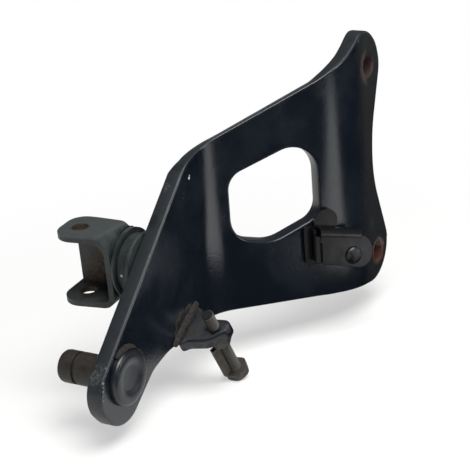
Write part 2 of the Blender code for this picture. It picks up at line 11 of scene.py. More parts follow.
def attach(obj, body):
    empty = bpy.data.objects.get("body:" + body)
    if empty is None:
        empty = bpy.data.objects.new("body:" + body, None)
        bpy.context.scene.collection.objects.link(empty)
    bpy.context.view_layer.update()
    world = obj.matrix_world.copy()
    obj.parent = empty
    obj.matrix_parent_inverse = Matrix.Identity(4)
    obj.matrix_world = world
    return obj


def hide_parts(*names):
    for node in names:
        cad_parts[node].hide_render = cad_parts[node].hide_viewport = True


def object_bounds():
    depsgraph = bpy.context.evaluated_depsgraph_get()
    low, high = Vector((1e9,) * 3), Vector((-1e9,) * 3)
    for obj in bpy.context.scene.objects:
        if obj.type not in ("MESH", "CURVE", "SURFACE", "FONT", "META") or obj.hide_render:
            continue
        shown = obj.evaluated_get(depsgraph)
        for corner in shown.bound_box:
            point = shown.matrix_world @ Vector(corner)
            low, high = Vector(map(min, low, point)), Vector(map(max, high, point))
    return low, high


bl_info = {
    "name": "Footrest Hanger Looks",
    "version": (1, 0, 0),
    "blender": (4, 5, 0),
    "location": "3D View > Sidebar > Hanger",
    "description": "Smooth forms, finishes, thread and studio for a motorcycle footrest hanger",
    "category": "Object",
}

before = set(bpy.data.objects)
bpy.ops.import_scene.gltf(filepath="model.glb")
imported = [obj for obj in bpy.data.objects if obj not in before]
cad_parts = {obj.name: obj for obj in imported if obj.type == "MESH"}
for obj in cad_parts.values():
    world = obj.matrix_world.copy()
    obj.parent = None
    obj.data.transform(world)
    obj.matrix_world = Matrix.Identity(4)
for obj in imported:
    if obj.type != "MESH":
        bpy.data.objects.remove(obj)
CAD_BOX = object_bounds()
BODY = "root"
MM = 0.001

# the plate's bent section, in millimetres of the row frame
JOGGLE = 45.7                   # pivot panel in front of the frame seat
SHEET = 8.0
FOLD = math.radians(35.5)
INNER_FOLD = (-98.6, 32.0)      # x of the bend's start and its front radius
OUTER_FOLD = (-6.9, 54.0)       # x of the bend's end and its front radius
BOLT_HOLES = ((5.5, 52.7), (8.7, -52.7))
PIVOT = (-174.14, -51.2)        # x and z of the pedal pivot
STOP_AXIS = (49.6, 29.9, 30.0)  # along the tab, outboard, and its tilt in degrees
PANEL = 75.5                    # flat of the pivot panel, pivot axis to the first bend
GAP = 0.3                       # clearance between pieces that touch
BOLT_RADIUS = 5.5
PIN_RADIUS = 8.0
FRONT_ROLL = 1.1                # sheared edge, rolled over at the front
BACK_ROLL = 0.6
TOP_TAPER = 2.6                 # the upper edge leans in towards the back
SCREW_RADIUS = 3.0
SCREW_ENDS = (-58.1, -13.5)     # seat of the head and tip, down the screw's axis
HEAD_TURN = math.radians(37.6)  # a corner of the screw's hexagon, about its axis


# outlines in millimetres from the pedal pivot: along, up, corner radius
BLANK = (
    (-5.4, -28.4, 16.0), (23.4, -7.9, 12.0), (37.0, -4.4, 40.0), (82.0, -4.2, 60.0),
    (150.0, -10.5, 200.0), (213.0, -20.4, 19.5), (207.9, 7.0, 40.0), (192.9, 44.0, 60.0),
    (195.0, 69.0, 60.0), (207.0, 102.0, 17.5), (203.4, 113.8, 19.0), (194.4, 122.5, 17.0),
    (185.0, 123.2, 9.0), (170.0, 115.0, 60.0), (150.0, 107.4, 90.0), (93.0, 89.1, 50.0),
    (66.9, 81.9, 24.0), (5.5, 26.9, 60.0), (-27.0, -2.6, 15.0),
)
WINDOW = (
    (96.2, 33.3, 14.0), (119.0, 26.6, 20.0), (146.4, 35.0, 10.5), (146.4, 79.6, 16.0),
    (96.4, 66.2, 9.5),
)
BOLTS = ((192.5, 103.9), (195.7, -1.5))
TAB = (
    (34.9, -0.3, 1.9), (38.8, -5.5, 4.0), (41.0, -15.5, 8.0), (50.0, -24.4, 5.0),
    (55.7, -22.0, 4.0), (54.7, -13.0, 8.0), (61.2, -0.3, 1.9),
)
TAB_LEVELS = (                  # down the screw's axis from the pivot, and inset
    (-30.9, 0.5), (-30.4, 0.0), (-25.9, 0.0), (-25.2, 0.18), (-24.7, 0.6), (-24.4, 1.1),
    (-24.3, 1.7),
)
TAB_NOTCH = (38.3, -3.0, 2.5, -29.7)    # along, outboard, radius and floor
STRAP_ENDS = (-57.8, -36.3)
STRAP_TURN = math.radians(-67)
STRAP_SIDE = 3.1                # from the screw's axis
SPOOL = (37.8, 40.0)            # axis of the clevis's round seat
CLEVIS = (35.0, 64.7, 40.1)     # middle of the clevis's web
CLEVIS_HEIGHT = 36.0
CLEVIS_SHEET = 2.8
CLEVIS_SWING, CLEVIS_LEAN, CLEVIS_ROLL = (math.radians(turn) for turn in (4.0, -0.5, -1.5))
NEAR_BEND, FAR_BEND, LOW_BEND = 10.0, 5.0, 6.0      # outside radii of the folded corners
WEB_SIDES = (-12.0, 9.6)
EYE_SIDES = (-14.0, 11.8)
PEG_PIN = (-1.3, 21.2)
PEG_RADIUS = 4.2
FLANGE = (                      # radius and height of the flange's section
    (0, -7.4), (17.4, -7.4), (17.4, -1.5), (17.2, -0.9), (16.8, -0.4), (16.1, -0.1), (15.5, 0),
    (0, 0),
)


def linear(code):
    """Linear colour of an sRGB hex value such as 1a1d21."""
    values = []
    for k in (0, 2, 4):
        part = int(code[k:k + 2], 16) / 255
        values.append(part / 12.92 if part <= 0.04045 else ((part + 0.055) / 1.055) ** 2.4)
    return tuple(values)


def colour(label, note, code):
    return FloatVectorProperty(name=label, description=note, subtype="COLOR", size=3,
                               min=0.0, max=1.0, default=linear(code))


def length(label, note, value):
    return FloatProperty(name=label, description=note, default=value * MM, min=0.0,
                         unit="LENGTH", subtype="DISTANCE", precision=5)


class HangerFinishes(bpy.types.PropertyGroup):
    enamel: colour("Enamel", "Blue-black enamel of the plate", "0d131b")
    enamel_dull: colour("Dulled enamel", "Enamel where dirt and sun have dulled it", "141a21")
    # Edge enamel is a painted highlight: the sheared edges drawn lighter grey than the enamel
    edge_painted_highlight: colour("Edge enamel", "Thin enamel over the sheared edges", "1c2226")
    clevis_enamel: colour("Clevis enamel", "Faded grey-black enamel of clevis and spool", "1c2222")
    clevis_faded: colour("Faded clevis enamel", "Its chalky, sun-bleached patches", "2c3433")
    # Rust is drawn darker than the rust itself: rust with painted shade deep in the bolt holes
    rust: colour("Rust", "Dark red-brown rust", "2a120d")
    rust_light: colour("Fresh rust", "Orange rust in the lower bolt hole", "4a1e0f")
    rust_tan: colour("Dry rust", "Tan rust and old grease in the clevis", "4e3b29")
    bare_steel: colour("Bare steel", "Steel where the enamel is chipped", "8d8a86")
    turned_steel: colour("Turned steel", "Tarnished steel of the pivot pin", "2e2a26")
    zinc: colour("Zinc", "Dulled zinc of screw, nut and strap", "403b36")
    dip_coat: colour("Dip coat", "Glossy black coat of the clip", "050608")
    weld: colour("Weld", "Weld metal under thin enamel", "0d0a09")
    peel_size: length("Orange peel", "Size of the enamel's orange peel", 1.3)
    chip_edge: length("Chip edge", "Width of the ragged border of a chip", 0.25)


class HangerShape(bpy.types.PropertyGroup):
    lug_reach: length("Lug reach", "Clevis lugs, from the web", 31.1)
    near_corner: length("Near corner", "Outer corner of both lugs beside the plate", 10.8)
    upper_corner: length("Upper far corner", "Far outer corner of the upper lug", 8.0)
    lower_corner: length("Lower far corner", "Far outer corner of the lower lug", 2.5)
    wall_reach: length("Stop wall", "Stop wall of the clevis, from the web", 29.0)
    pin_reach: length("Pin reach", "Pedal pivot pin, from the panel's front face", 34.6)
    strap_width: length("Strap width", "Strap beside the stop screw", 4.3)
    strap: length("Strap", "Thickness of that strap", 2.4)
    bend_steps: IntProperty(name="Bend steps", description="Facets of each bend of the plate",
                            default=32, min=8)


class HangerThread(bpy.types.PropertyGroup):
    pitch: length("Pitch", "Distance from crest to crest", 1.25)
    depth: length("Depth", "Height of a thread crest over its root", 0.7)
    radius: length("Radius", "Crest radius of the stop screw", 3.0)
    flats: length("Across flats", "Hexagon head across its flats", 11.4)
    head: length("Head height", "Height of the hexagon head", 4.5)


class HangerStage(bpy.types.PropertyGroup):
    floor: colour("Floor", "Pale studio paper", "f3f3f1")
    focal: FloatProperty(name="Focal length", description="Lens of the camera in millimetres",
                         default=114.55, min=20.0)
    overhead: FloatProperty(name="Overhead lamp", description="Power of the overhead softbox",
                            default=24.0, min=0.0, unit="POWER")
    front: FloatProperty(name="Front lamp", description="Power of the tall front softbox",
                         default=4.0, min=0.0, unit="POWER")
    low: FloatProperty(name="Low strip", description="Power of the strip lamp low in front",
                       default=0.2, min=0.0, unit="POWER")
    room: FloatProperty(name="Room light", description="Strength of the plain room light",
                        default=0.14, min=0.0)


def add(tree, kind, settings=None, links=None):
    """Add one shader node, set its properties and sockets, and link its inputs."""
    node = tree.nodes.new("ShaderNode" + kind)
    for name, value in (settings or {}).items():
        if isinstance(name, str) and hasattr(node, name):
            setattr(node, name, value)
        else:
            node.inputs[name].default_value = value
    for name, source in (links or {}).items():
        tree.links.new(getattr(source, "outputs", [source])[0], node.inputs[name])
    return node


def span(zero, one, kind="LINEAR"):
    """Settings of a map range that gives 0 at zero and 1 at one."""
    return {"interpolation_type": kind, "From Min": zero, "From Max": one}


def new_material(name):
    """An empty material, its tree, and object coordinates in millimetres."""
    material = bpy.data.materials.new(name)
    material.use_nodes = True
    tree = material.node_tree
    tree.nodes.clear()
    place = add(tree, "TexCoord")
    mm = add(tree, "VectorMath", {"operation": "SCALE", "Scale": 1000.0},
             {0: place.outputs["Object"]})
    return material, tree, mm


def close_material(tree, shader):
    add(tree, "OutputMaterial", None, {"Surface": shader})


def wear(node_name, material):
    """Give a CAD node a finish."""
    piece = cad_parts[node_name]
    for slot in piece.material_slots:
        slot.link = "OBJECT"
        slot.material = material


def patches(tree, mm, size, low, high, detail=3.0, rough=0.6):
    """A cloudy mask of patches of about this size in millimetres."""
    noise = add(tree, "TexNoise", {"Scale": 1.0 / size, "Detail": detail, "Roughness": rough},
                {"Vector": mm})
    return add(tree, "MapRange", span(low, high, "SMOOTHSTEP"), {"Value": noise})


def specks(tree, mm, spacing, radius, share):
    """Small round specks: one in each kept cell of a loose grid."""
    cells = add(tree, "TexVoronoi", {"Scale": 1.0 / spacing}, {"Vector": mm})
    dot = add(tree, "MapRange", span(radius / spacing, 0.5 * radius / spacing, "SMOOTHSTEP"),
              {"Value": cells.outputs["Distance"]})
    pick = add(tree, "SeparateColor", None, {"Color": cells.outputs["Color"]})
    kept = add(tree, "Math", {"operation": "LESS_THAN", 1: share}, {0: pick.outputs["Red"]})
    return both(tree, dot, kept)


def spots(tree, mm, places, edge):
    """Ragged spots at given points, each (x, y, z, radius) in millimetres."""
    ragged = add(tree, "TexNoise", {"Scale": 1.1, "Detail": 4.0}, {"Vector": mm})
    shift = add(tree, "MapRange", {"To Min": -0.9, "To Max": 0.9}, {"Value": ragged})
    masks = []
    for x, y, z, radius in places:
        far = add(tree, "VectorMath", {"operation": "DISTANCE", 1: (x, y, z)}, {0: mm})
        reach = add(tree, "Math", {"operation": "MULTIPLY_ADD", 1: 0.9 * radius},
                    {0: shift, 2: far.outputs["Value"]})
        masks.append(add(tree, "MapRange", span(radius + edge, radius - edge, "SMOOTHSTEP"),
                         {"Value": reach}))
    return any_of(tree, *masks)


def section_height(x, depth):
    """y of the plate at x, this far under its front face, all in millimetres."""
    start, inner = INNER_FOLD
    end, outer = OUTER_FOLD
    inner += depth
    outer -= depth
    if x <= start:
        return JOGGLE + depth
    if x >= end:
        return depth
    middle_y = JOGGLE + depth - inner
    if x - start < inner * math.sin(FOLD):
        return middle_y + math.sqrt(inner ** 2 - (x - start) ** 2)
    if end - x < outer * math.sin(FOLD):
        return outer + depth - math.sqrt(outer ** 2 - (end - x) ** 2)
    near = start + inner * math.sin(FOLD)
    return middle_y + inner * math.cos(FOLD) - (x - near) * math.tan(FOLD)


def plate_depth(tree, mm):
    """0 on the plate's front face and 1 on its back, followed through both bends."""
    split = add(tree, "SeparateXYZ", None, {"Vector": mm})
    along = add(tree, "MapRange", span(-220.0, 40.0), {"Value": split.outputs["X"]})
    faces = []
    for depth in (0.0, SHEET):
        line = add(tree, "FloatCurve", None, {"Value": along})
        curve = line.mapping.curves[0]
        line.mapping.use_clip = False
        for k in range(65):
            x = -110.0 + 120.0 * k / 64
            position = ((x + 220.0) / 260.0, section_height(x, depth) / 60.0)
            if k == 0:
                curve.points[0].location = (0.0, position[1])
            point = curve.points.new(*position)
            point.handle_type = "VECTOR"
            if k == 64:
                curve.points[len(curve.points) - 1].location = (1.0, position[1])
        line.mapping.update()
        faces.append(add(tree, "Math", {"operation": "MULTIPLY", 1: 60.0}, {0: line}))
    front, back = faces
    above = add(tree, "Math", {"operation": "SUBTRACT"}, {0: split.outputs["Y"], 1: front})
    thick = add(tree, "Math", {"operation": "SUBTRACT"}, {0: back, 1: front})
    return add(tree, "Math", {"operation": "DIVIDE"}, {0: above, 1: thick})


def band(tree, value, low, rise, fall, high):
    """1 between rise and fall, running out to 0 at low and high."""
    up = add(tree, "MapRange", span(low, rise, "SMOOTHSTEP"), {"Value": value})
    down = add(tree, "MapRange", span(high, fall, "SMOOTHSTEP"), {"Value": value})
    return both(tree, up, down)


def axis(tree, mm, name):
    """One coordinate of the point, in millimetres."""
    return add(tree, "SeparateXYZ", None, {"Vector": mm}).outputs[name]


def hole_distance(tree, mm, hole):
    """Distance from the axis of a hole through the frame panel."""
    flat = add(tree, "VectorMath", {"operation": "MULTIPLY", 1: (1.0, 0.0, 1.0)}, {0: mm})
    far = add(tree, "VectorMath", {"operation": "DISTANCE", 1: (hole[0], 0.0, hole[1])}, {0: flat})
    return far.outputs["Value"]


def axis_distance(tree, mm, point, way):
    """Distance from a line through a point along a unit vector, in millimetres."""
    away = add(tree, "VectorMath", {"operation": "SUBTRACT", 1: point}, {0: mm})
    cross = add(tree, "VectorMath", {"operation": "CROSS_PRODUCT", 1: way}, {0: away})
    return add(tree, "VectorMath", {"operation": "LENGTH"}, {0: cross}).outputs["Value"]


def layered(tree, layers):
    """Blend (mask, colour, metallic, roughness) layers, the first one lowest."""
    base = layers[0]
    tone, metal, rough = base[1], base[2], base[3]
    for mask, top, top_metal, top_rough in layers[1:]:
        mixes = []
        for under, over, kind in ((tone, top, "RGBA"), (metal, top_metal, "FLOAT"),
                                  (rough, top_rough, "FLOAT")):
            first, second, out = (6, 7, 2) if kind == "RGBA" else (2, 3, 0)
            settings = {"data_type": kind}
            links = {0: mask}
            for index, value in ((first, under), (second, over)):
                if isinstance(value, (bpy.types.NodeSocket, bpy.types.Node)):
                    links[index] = value
                elif kind == "RGBA":
                    settings[index] = (*value, 1.0)
                else:
                    settings[index] = value
            mixes.append(add(tree, "Mix", settings, links).outputs[out])
        tone, metal, rough = mixes
    return tone, metal, rough


def any_of(tree, *masks):
    total = masks[0]
    for mask in masks[1:]:
        total = add(tree, "Math", {"operation": "MAXIMUM"}, {0: total, 1: mask})
    return total


def both(tree, one, other):
    return add(tree, "Math", {"operation": "MULTIPLY"}, {0: one, 1: other})


def relief(tree, steps):
    """Stack bump maps, each (height mask, depth in millimetres)."""
    normal = None
    for height, depth in steps:
        links = {"Height": height}
        if normal:
            links["Normal"] = normal
        normal = add(tree, "Bump", {"Strength": 1.0, "Distance": depth * MM}, links)
    return normal


def principled(tree, layers, steps, settings):
    """The surface shader: layered colour, metal and roughness over its relief."""
    tone, metal, rough = layered(tree, layers)
    links = {"Base Color": tone, "Roughness": rough}
    if isinstance(metal, bpy.types.NodeSocket):
        links["Metallic"] = metal
    else:
        settings["Metallic"] = metal
    if steps:
        links["Normal"] = relief(tree, steps)
    shader = add(tree, "BsdfPrincipled", settings, links)
    close_material(tree, shader)


# ragged chips through the enamel: x, y, z, radius
PLATE_CHIPS = (
    (-191.0, 45.9, -43.9, 0.35), (-191.5, 46.0, -46.1, 0.6), (-192.1, 45.9, -48.1, 0.45),
    (-192.8, 45.8, -50.0, 0.55), (-193.0, 45.8, -52.3, 0.35), (-193.0, 45.8, -54.5, 0.45),
    (-5.3, 0.4, 68.2, 0.6), (-186.9, 47.0, -41.0, 0.35),
)
PLATE_SCRATCH = tuple((2.2 - 0.1 * k, 0.0, -32.0 - 1.0 * k, 0.22) for k in range(5))
LIGHT_CHIPS = ((-104.85, 45.7, 23.0, 0.7), (-104.4, 45.7, 24.2, 0.3))
SCUFFS = ((-117.4, 51.7, 22.1, 2.2), (-190.7, 50.8, -44.8, 3.4), (-188.2, 50.2, -40.5, 2.2),
          (-186.0, 50.0, -36.0, 1.8))


def stoved_enamel_on_pressed_steel(finish):
    """Thick stoved enamel on a pressed plate: deep blue-black, soft orange peel, a dull grey
    painted highlight on the sheared edges, chipped to steel at the corners."""
    material, tree, mm = new_material("stoved_enamel_on_pressed_steel")
    depth = plate_depth(tree, mm)
    sheared = band(tree, depth, 0.008, 0.05, 0.94, 1.0)
    corner = band(tree, depth, 0.0, 0.05, 0.1, 0.2)
    dull = patches(tree, mm, 26.0, 0.42, 0.66)
    grime = patches(tree, mm, 5.0, 0.5, 0.85, 4.0)
    dust = specks(tree, mm, 1.6, 0.2, 0.1)
    middle = add(tree, "VectorMath", {"operation": "DISTANCE", 1: (-59.0, 25.0, 2.0)}, {0: mm})
    # Painted shade: the window's sheared walls keep the dark enamel instead of the edges' painted
    # highlight
    window_rim_painted_shade = both(tree, sheared, add(tree, "MapRange", span(41.0, 38.0),
                                         {"Value": middle.outputs["Value"]}))
    from_weld = add(tree, "VectorMath", {"operation": "DISTANCE", 1: (-118.6, 45.7, -52.0)},
                    {0: mm})
    ragged = add(tree, "TexNoise", {"Scale": 0.3, "Detail": 4.0}, {"Vector": mm})
    from_weld = add(tree, "Math", {"operation": "MULTIPLY_ADD", 1: 7.0},
                    {0: ragged, 2: from_weld.outputs["Value"]})
    in_front = add(tree, "MapRange", span(0.5, 0.3), {"Value": depth})
    stain = both(tree, both(tree, band(tree, from_weld, 13.6, 14.3, 14.7, 16.4), in_front),
                 patches(tree, mm, 1.6, 0.36, 0.56, 4.0))
    stain_core = both(tree, in_front, add(tree, "MapRange", span(14.6, 13.6), {"Value": from_weld}))
    chips = spots(tree, mm, PLATE_CHIPS + PLATE_SCRATCH, finish.chip_edge / MM)
    light = spots(tree, mm, LIGHT_CHIPS, finish.chip_edge / MM)
    scuff = both(tree, spots(tree, mm, SCUFFS, 1.4), patches(tree, mm, 1.2, 0.42, 0.6))
    worn = both(tree, corner, patches(tree, mm, 3.0, 0.56, 0.7, 4.0))
    across = axis(tree, mm, "X")
    frame_flat = add(tree, "MapRange", span(-14.0, 2.0, "SMOOTHSTEP"), {"Value": across})
    upper, lower = (hole_distance(tree, mm, hole) for hole in BOLT_HOLES)
    left = add(tree, "MapRange", span(4.5, 1.5), {"Value": across})
    crescent = both(tree, both(tree, band(tree, upper, 5.0, 5.8, 8.4, 11.5), left),
                    patches(tree, mm, 2.2, 0.3, 0.55, 4.0))
    upper_wall = add(tree, "MapRange", span(6.2, 5.7), {"Value": upper})
    lower_wall = add(tree, "MapRange", span(6.6, 5.9), {"Value": lower})
    lower_ring = both(tree, band(tree, lower, 5.0, 5.6, 6.8, 8.6),
                      patches(tree, mm, 1.6, 0.4, 0.58, 4.0))
    lower_rust = any_of(tree, lower_wall, lower_ring)
    middle_z = BOLT_HOLES[1][1]
    sparkle = add(tree, "MapRange", span(middle_z - 1.0, middle_z + 3.0),
                  {"Value": axis(tree, mm, "Z")})
    fresh = patches(tree, mm, 1.4, 0.4, 0.6, 4.0)
    grit = patches(tree, mm, 0.6, 0.48, 0.6, 3.0)
    # Rust of the bolt holes, darkened as painted shade deep in the holes
    brown = layered(tree, [(None, finish.rust, 0.0, 0.85),
                           (fresh, (0.036, 0.014, 0.009), 0.0, 0.9)])
    orange = layered(tree, [(None, finish.rust, 0.0, 0.85),
                            (fresh, finish.rust_light, 0.0, 0.9)])
    layers = [
        (None, finish.enamel, 0.0, 0.17),
        (dull, finish.enamel_dull, 0.0, 0.22),
        (frame_flat, (0.012, 0.013, 0.0145), 0.0, 0.4),
        # Painted highlight: the sheared edges drawn in a lighter grey
        (both(tree, sheared, patches(tree, mm, 8.0, 0.1, 0.5)), finish.edge_painted_highlight, 0.0,
         0.5),
        # Painted shade on the window's walls
        (window_rim_painted_shade, finish.enamel, 0.0, 0.3),
        (both(tree, grime, dull), (0.0085, 0.0105, 0.0135), 0.0, 0.36),
        (dust, (0.026, 0.028, 0.032), 0.0, 0.5),
        (stain, (0.05, 0.037, 0.028), 0.0, 0.8),
        (stain_core, (0.009, 0.007, 0.006), 0.0, 0.7),
        (scuff, (0.065, 0.072, 0.078), 0.0, 0.6),
        (crescent, (0.038, 0.03, 0.025), 0.1, 0.6),
        # rust with painted shade in the bolt holes
        (upper_wall, *brown),
        (lower_rust, *orange),
        (both(tree, both(tree, lower_rust, sparkle), grit), (0.22, 0.21, 0.2), 0.2, 0.5),
        (worn, (0.04, 0.043, 0.047), 0.1, 0.5),
        (chips, finish.bare_steel, 0.9, 0.42),
        (light, (0.55, 0.55, 0.53), 0.0, 0.6),
    ]
    peel = add(tree, "TexNoise", {"Scale": MM / finish.peel_size, "Detail": 1.5}, {"Vector": mm})
    grain = add(tree, "TexNoise", {"Scale": 2.6, "Detail": 3.0}, {"Vector": mm})
    pits = any_of(tree, chips, crescent)
    sunk = add(tree, "Math", {"operation": "MULTIPLY", 1: -1.0}, {0: pits})
    principled(tree, layers, [(peel, 0.05), (grain, 0.014), (sunk, 0.08)], {"IOR": 1.5})
    return material


def faded_enamel_on_folded_sheet(finish):
    """Enamel on folded sheet that sun and boots have worn matt: grey-black with a green cast,
    brown rust creeping over the inside of the channel, painted light along the top and
    painted highlights on the top fold."""
    material, tree, mm = new_material("faded_enamel_on_folded_sheet")
    faded = patches(tree, mm, 9.0, 0.36, 0.66, 4.0)
    wall = both(tree, band(tree, axis(tree, mm, "Z"), -26.5, -25.0, 3.0, 4.5),
                band(tree, axis(tree, mm, "X"), -134.5, -133.0, -128.0, -127.0))
    wall = both(tree, wall, band(tree, axis(tree, mm, "Y"), 68.5, 72.0, 100.0, 104.0))
    round_holes = add(tree, "MapRange", span(5.2, 4.2),
                      {"Value": axis_distance(tree, mm, (-141.9, 85.5, -10.0),
                                              (-0.027, 0.007, 0.9996))})
    holes = both(tree, round_holes, patches(tree, mm, 2.0, 0.3, 0.5, 4.0))
    foot = both(tree, band(tree, axis(tree, mm, "Z"), -27.5, -26.8, -26.0, -25.0),
                patches(tree, mm, 4.0, 0.4, 0.6, 4.0))
    specked = specks(tree, mm, 2.4, 0.4, 0.25)
    # Painted light: the top of the clevis and spool drawn lighter, as if lit from above
    top = both(tree, band(tree, axis(tree, mm, "Z"), 5.4, 6.4, 9.5, 10.0),
               patches(tree, mm, 7.0, 0.2, 0.5, 4.0))
    # Painted highlights: two light spots on the top fold
    fold = spots(tree, mm, ((-150.5, 68.6, 1.4, 0.9), (-150.2, 69.4, 3.0, 0.7)), 0.5)
    glint = spots(tree, mm, ((-151.3, 58.3, -11.4, 0.6),), 0.3)
    tan = layered(tree, [(None, finish.rust_tan, 0.0, 0.85),
                         (patches(tree, mm, 3.0, 0.45, 0.6, 5.0), (0.03, 0.022, 0.016), 0.0, 0.85),
                         (patches(tree, mm, 1.6, 0.56, 0.68, 4.0), (0.17, 0.12, 0.08), 0.0, 0.85)])
    layers = [
        (None, finish.clevis_enamel, 0.0, 0.5),
        (faded, finish.clevis_faded, 0.0, 0.58),
        # painted light along the top
        (top, (0.044, 0.05, 0.05), 0.0, 0.52),
        (specked, (0.012, 0.011, 0.01), 0.0, 0.8),
        (wall, *tan),
        (both(tree, foot, faded), (0.03, 0.024, 0.018), 0.0, 0.8),
        (holes, (0.036, 0.018, 0.011), 0.0, 0.85),
        # painted highlights on the top fold
        (fold, (0.085, 0.088, 0.086), 0.0, 0.5),
        (glint, (0.5, 0.5, 0.48), 0.0, 0.5),
    ]
    peel = add(tree, "TexNoise", {"Scale": 0.8, "Detail": 3.0}, {"Vector": mm})
    pits = add(tree, "TexNoise", {"Scale": 2.2, "Detail": 4.0}, {"Vector": mm})
    principled(tree, layers, [(peel, 0.06), (pits, 0.03)], {"IOR": 1.5})
    return material


def thin_enamel_on_weld_bead(finish):
    """Arc weld under a thin coat: rippled every millimetre and a half, browned in patches."""
    material, tree, mm = new_material("thin_enamel_on_weld_bead")
    brown = patches(tree, mm, 2.5, 0.4, 0.6, 4.0)
    layers = [
        (None, finish.weld, 0.0, 0.7),
        (brown, (0.014, 0.009, 0.007), 0.0, 0.85),
    ]
    ripple = add(tree, "TexVoronoi", {"Scale": 0.65, "feature": "SMOOTH_F1"}, {"Vector": mm})
    grit = add(tree, "TexNoise", {"Scale": 2.4, "Detail": 4.0}, {"Vector": mm})
    principled(tree, layers, [(ripple, 0.5), (grit, 0.08)], {"IOR": 1.5})
    return material


def tarnished_turned_steel(finish):
    """Turned mild steel: fine tool rings round the pin, browned by age. Its head lies on the
    painted side and keeps the plate's enamel."""
    material, tree, mm = new_material("tarnished_turned_steel")
    painted = add(tree, "MapRange", span(50.0, 49.0), {"Value": axis(tree, mm, "Y")})
    brown = patches(tree, mm, 4.0, 0.36, 0.66, 5.0)
    squeezed = add(tree, "VectorMath", {"operation": "MULTIPLY", 1: (0.12, 3.0, 0.12)}, {0: mm})
    rings = add(tree, "TexNoise", {"Scale": 1.6, "Detail": 2.0}, {"Vector": squeezed})
    streak = add(tree, "MapRange", span(0.4, 0.65), {"Value": rings})
    layers = [
        (None, finish.turned_steel, 0.45, 0.5),
        (streak, (0.022, 0.019, 0.016), 0.3, 0.52),
        (brown, (0.026, 0.02, 0.016), 0.1, 0.65),
        (painted, finish.enamel, 0.0, 0.3),
        (both(tree, painted, patches(tree, mm, 6.0, 0.4, 0.65, 5.0)), finish.enamel_dull,
         0.0, 0.36),
    ]
    peel = add(tree, "TexNoise", {"Scale": 0.8, "Detail": 3.0}, {"Vector": mm})
    bare = add(tree, "Math", {"operation": "SUBTRACT", 0: 1.0}, {1: painted})
    principled(tree, layers, [(peel, 0.05), (both(tree, rings, bare), 0.05)], {})
    return material


def dulled_zinc_plate(finish, name="dulled_zinc_plate", crest=None):
    """Zinc-plated steel fastener, its plate gone grey-brown with road dirt. On a thread the
    crests carry a painted highlight and the roots are black with dirt and painted shade."""
    material, tree, mm = new_material(name)
    dirt = patches(tree, mm, 2.6, 0.42, 0.64, 5.0)
    brown = patches(tree, mm, 5.0, 0.5, 0.7, 4.0)
    layers = [
        (None, finish.zinc, 0.4, 0.5),
        (dirt, (0.026, 0.023, 0.02), 0.1, 0.65),
        (brown, (0.034, 0.024, 0.017), 0.0, 0.75),
    ]
    if crest:
        matrix = stop_screw_matrix()
        way = matrix.to_3x3() @ Vector((0.0, 0.0, 1.0))
        start = matrix.translation / MM
        radius = axis_distance(tree, mm, tuple(start), tuple(way))
        # Black thread roots: dirt with painted shade
        root = add(tree, "MapRange", span(crest - 0.16, crest - 0.4), {"Value": radius})
        # Lighter thread crests: a painted highlight
        crest_painted_highlight = band(tree, radius, crest - 0.34, crest - 0.16, crest + 0.02, crest + 0.1)
        layers.append((crest_painted_highlight, (0.09, 0.086, 0.074), 0.2, 0.5))
        layers.append((root, (0.002, 0.002, 0.002), 0.0, 0.9))
    grit = add(tree, "TexNoise", {"Scale": 2.5, "Detail": 4.0}, {"Vector": mm})
    principled(tree, layers, [(grit, 0.03)], {})
    return material


def dip_coated_spring_sheet(finish):
    """Spring steel sheet dipped in black: a smooth, glossy, slightly pooled coat."""
    material, tree, mm = new_material("dip_coated_spring_sheet")
    dust = specks(tree, mm, 2.6, 0.2, 0.12)
    dull = patches(tree, mm, 7.0, 0.45, 0.7, 3.0)
    layers = [
        (None, finish.dip_coat, 0.0, 0.3),
        (dull, finish.dip_coat, 0.0, 0.38),
        (dust, (0.03, 0.03, 0.03), 0.0, 0.5),
    ]
    sag = add(tree, "TexNoise", {"Scale": 0.18, "Detail": 1.0}, {"Vector": mm})
    principled(tree, layers, [(sag, 0.12)], {"IOR": 1.5})
    return material


def enamel_on_stop_tab(finish, name="thin_enamel_on_sawn_tab"):
    """The plate's enamel brushed thin over a sawn tab, rusting in patches."""
    material, tree, mm = new_material(name)
    rust = patches(tree, mm, 4.0, 0.5, 0.64, 5.0)
    dull = patches(tree, mm, 8.0, 0.4, 0.6, 4.0)
    layers = [
        (None, finish.enamel, 0.0, 0.3),
        (dull, finish.enamel_dull, 0.0, 0.46),
        (rust, (0.02, 0.015, 0.012), 0.0, 0.8),
    ]
    grit = add(tree, "TexNoise", {"Scale": 1.4, "Detail": 4.0}, {"Vector": mm})
    principled(tree, layers, [(grit, 0.06)], {"IOR": 1.5})
    return material


def rounded(corners, step=math.radians(5)):
    """Points and outward normals of a closed outline, anticlockwise, with rounded corners."""
    points = []
    count = len(corners)
    for i in range(count):
        before, here = Vector(corners[i - 1][:2]), Vector(corners[i][:2])
        after, radius = Vector(corners[(i + 1) % count][:2]), corners[i][2]
        arrive, leave = (here - before).normalized(), (after - here).normalized()
        turn = math.atan2(arrive.cross(leave), arrive.dot(leave))
        side = 1.0 if turn > 0 else -1.0
        start = here - arrive * radius * math.tan(abs(turn) / 2)
        normal = Vector((arrive.y, -arrive.x))
        centre = start - normal * side * radius
        pieces = max(1, math.ceil(abs(turn) / step))
        for k in range(pieces + 1):
            out = Matrix.Rotation(turn * k / pieces, 2) @ normal
            points.append((centre + out * side * radius, out))
    return points


def circle(x, z, radius, count=64):
    points = []
    for k in range(count):
        out = Vector((math.cos(2 * math.pi * k / count), math.sin(2 * math.pi * k / count)))
        points.append((Vector((x, z)) + out * radius, out))
    return points


